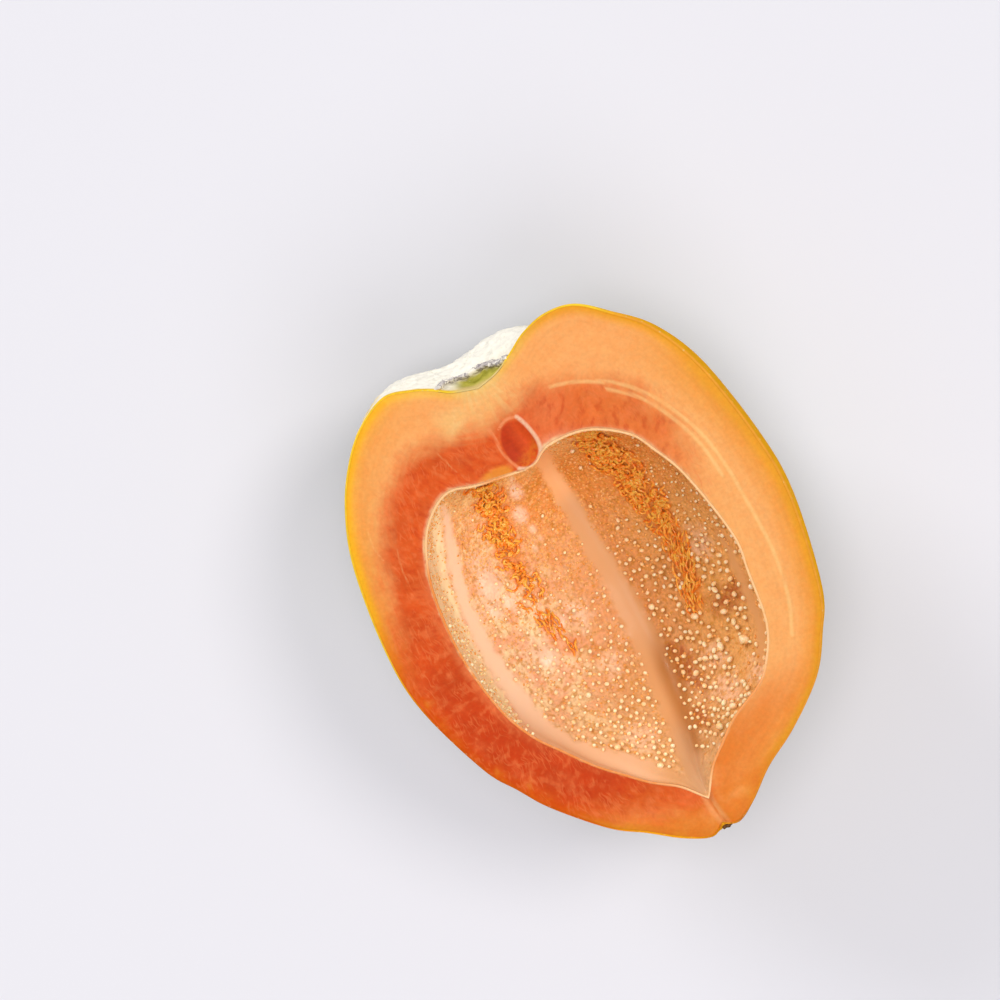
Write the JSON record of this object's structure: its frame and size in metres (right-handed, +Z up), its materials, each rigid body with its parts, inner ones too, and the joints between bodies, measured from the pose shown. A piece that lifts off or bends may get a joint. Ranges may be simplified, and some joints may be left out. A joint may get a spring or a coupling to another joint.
{
  "type": "papaya half",
  "caption": "Half of a ripe papaya cut lengthwise, resting on its back: pear-shaped skin side, flat orange cut face and an emptied five-grooved seed cavity with stubs of seed stalk.",
  "frame": {"origin": "on the surface that the half rests on, under the middle of its outline", "axes": "+Z up, square to the cut face; +Y along the fruit's axis towards the stem end, -Y towards the blossom end; +X across the fruit"},
  "size_m": [0.11, 0.1378, 0.055],
  "materials": {
    "flesh": "moist cut flesh, red-orange towards the cavity and light orange towards the skin, semi-gloss",
    "skin": "smooth waxy skin, golden yellow by the cut and green on the back",
    "lining": "pale fibrous lining of the seed cavity, satin"
  },
  "bodies": {
    "root": {"papaya_half": "flesh"}
  },
  "joints": []
}
